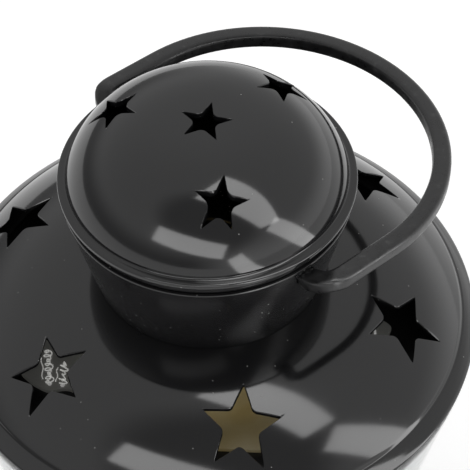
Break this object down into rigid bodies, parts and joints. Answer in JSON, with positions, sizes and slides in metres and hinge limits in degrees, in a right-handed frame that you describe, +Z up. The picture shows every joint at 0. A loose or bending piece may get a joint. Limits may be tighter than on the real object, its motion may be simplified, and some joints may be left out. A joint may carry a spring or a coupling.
{
  "type": "battery led lantern",
  "caption": "Black battery LED lantern with a star-pierced domed cap, swinging handle, wide star-pierced roof, clear tapered body and a flared base.",
  "frame": {"origin": "bottom centre of the feet, on the main axis", "axes": "+Z up along the main axis; the handle lies towards azimuth 40 degrees, between +X and +Y"},
  "size_m": [0.137, 0.137, 0.2022],
  "materials": {
    "gloss_black": "glossy injection-moulded black plastic with faint scuffs",
    "satin_black": "satin black plastic",
    "clear_plastic": "clear glossy plastic",
    "warm_diffuser": "thin warm ivory translucent sheet",
    "clear_glue": "clear hot-melt glue",
    "ivory_plastic": "wax-like ivory plastic",
    "amber_lens": "frosted amber plastic",
    "led_clear": "clear epoxy with steel leads",
    "board_green": "green solder mask",
    "feet_rubber": "soft matt rubber",
    "cell_sleeve": "plain printed battery sleeve",
    "switch_plastic": "matt black plastic",
    "red_insulation": "red wire insulation",
    "black_insulation": "black wire insulation",
    "steel": "zinc-plated steel",
    "spring_steel": "nickel-plated spring steel"
  },
  "bodies": {
    "lantern": {"foot_1": "feet_rubber", "foot_2": "feet_rubber", "foot_3": "feet_rubber", "foot_4": "feet_rubber", "base_shell": "satin_black", "base_plate": "satin_black", "base_screw_1": "steel", "base_screw_2": "steel", "base_screw_3": "steel", "battery_1": "cell_sleeve", "battery_2": "cell_sleeve", "battery_3": "cell_sleeve", "contact_plate_1": "spring_steel", "contact_plate_2": "spring_steel", "contact_plate_3": "spring_steel", "contact_plate_4": "spring_steel", "contact_spring_1": "spring_steel", "contact_spring_2": "spring_steel", "contact_spring_3": "spring_steel", "switch_housing": "switch_plastic", "clear_body": "clear_plastic", "candle_body": "ivory_plastic", "candle_screw_1": "steel", "candle_screw_2": "steel", "circuit_board": "board_green", "board_screw_1": "steel", "board_screw_2": "steel", "led": "led_clear", "flame_lens": "amber_lens", "wire_battery_to_switch": "red_insulation", "wire_switch_to_board": "red_insulation", "wire_battery_to_board": "black_insulation", "roof_ring": "satin_black", "ring_screw_1": "steel", "ring_screw_2": "steel", "ring_screw_3": "steel", "star_diffuser": "warm_diffuser", "glue_bead_1": "clear_glue", "glue_bead_2": "clear_glue", "glue_bead_3": "clear_glue", "glue_bead_4": "clear_glue", "glue_bead_5": "clear_glue", "roof_shell": "gloss_black", "collar": "gloss_black", "cap_dome": "gloss_black", "collar_screw_1": "steel", "collar_screw_2": "steel", "collar_screw_3": "steel"},
    "handle": {"handle": "satin_black"},
    "switch_knob": {"switch_knob": "switch_plastic"},
    "battery_door": {"battery_door": "satin_black", "battery_door_screw_1": "steel", "battery_door_screw_2": "steel"}
  },
  "joints": [
    {"name": "handle_hinge", "type": "hinge", "parent": "lantern", "child": "handle", "pos_m": [0, 0, 0.1768], "axis": [0.6428, -0.766, 0], "range_deg": [-25, 205]},
    {"name": "switch_slide", "type": "slide", "parent": "lantern", "child": "switch_knob", "axis": [1, 0, 0], "range_m": [0, 0.0034]},
    {"name": "battery_door_lift", "type": "slide", "parent": "lantern", "child": "battery_door", "axis": [0, 0, -1], "range_m": [0, 0.03]}
  ]
}
